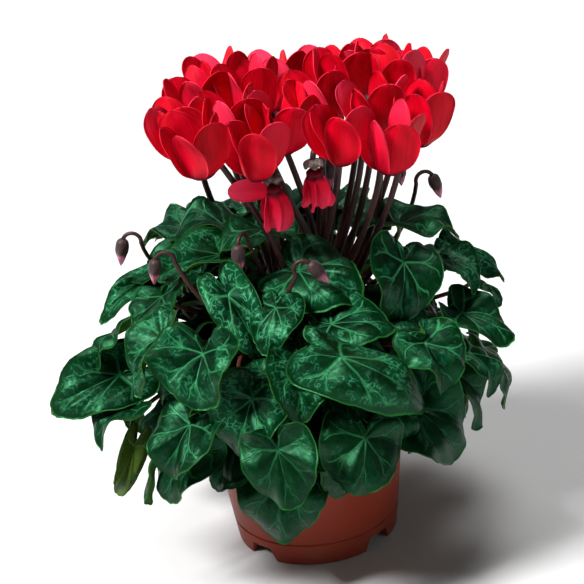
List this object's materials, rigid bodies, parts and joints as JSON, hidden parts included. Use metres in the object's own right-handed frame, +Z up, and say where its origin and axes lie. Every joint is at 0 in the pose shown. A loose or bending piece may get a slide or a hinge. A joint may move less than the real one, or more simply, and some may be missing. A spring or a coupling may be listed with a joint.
{
  "type": "potted cyclamen",
  "caption": "Florist's cyclamen in flower in a small terracotta-coloured nursery pot: red reflexed blooms on hooked stalks above a mound of heart-shaped marbled leaves.",
  "frame": {"origin": "centre of the bounding box in X and Y, at the plane the pot's foot stands on; the pot's own axis stands 6.6 mm to +X and 1.3 mm to +Y of it", "axes": "+Z up along the pot's axis, -Y towards the side seen in the picture"},
  "size_m": [0.223, 0.2146, 0.2451],
  "materials": {
    "terracotta_plastic": "satin",
    "peat": "matte",
    "stalk": "satin",
    "leaf": "satin",
    "petal": "satin"
  },
  "bodies": {
    "root": {"bloom_01": "petal", "bloom_02": "petal", "bloom_03": "petal", "bloom_05": "petal", "bloom_06": "petal", "bloom_07": "petal", "bloom_08": "petal", "bloom_09": "petal", "bloom_10": "petal", "bloom_13": "petal", "bloom_15": "petal", "bloom_16": "petal", "bloom_17": "petal", "bloom_20": "petal", "bloom_21": "petal", "crown": "stalk", "leaf_01": "leaf", "leaf_03": "leaf", "leaf_09": "leaf", "leaf_10": "leaf", "leaf_11": "leaf", "leaf_13": "leaf", "leaf_20": "leaf", "leaf_22": "leaf", "leaf_24": "leaf", "leaf_27": "leaf", "leaf_29": "leaf", "leaf_30": "leaf", "leaf_31": "leaf", "leaf_32": "leaf", "leaf_33": "leaf", "leaf_34": "leaf", "leaf_35": "leaf", "leaf_36": "leaf", "leaf_37": "leaf", "leaf_38": "leaf", "leaf_39": "leaf", "leaf_40": "leaf", "leaf_41": "leaf", "leaf_42": "leaf", "leaf_44": "leaf", "leaf_45": "leaf", "leaf_46": "leaf", "leaf_47": "leaf", "leaf_48": "leaf", "leaf_49": "leaf", "leaf_50": "leaf", "leaf_51": "leaf", "leaf_52": "leaf", "leaf_53": "leaf", "leaf_54": "leaf", "leaf_59": "leaf", "leaf_61": "leaf", "pot": "terracotta_plastic", "soil": "peat"}
  },
  "joints": []
}
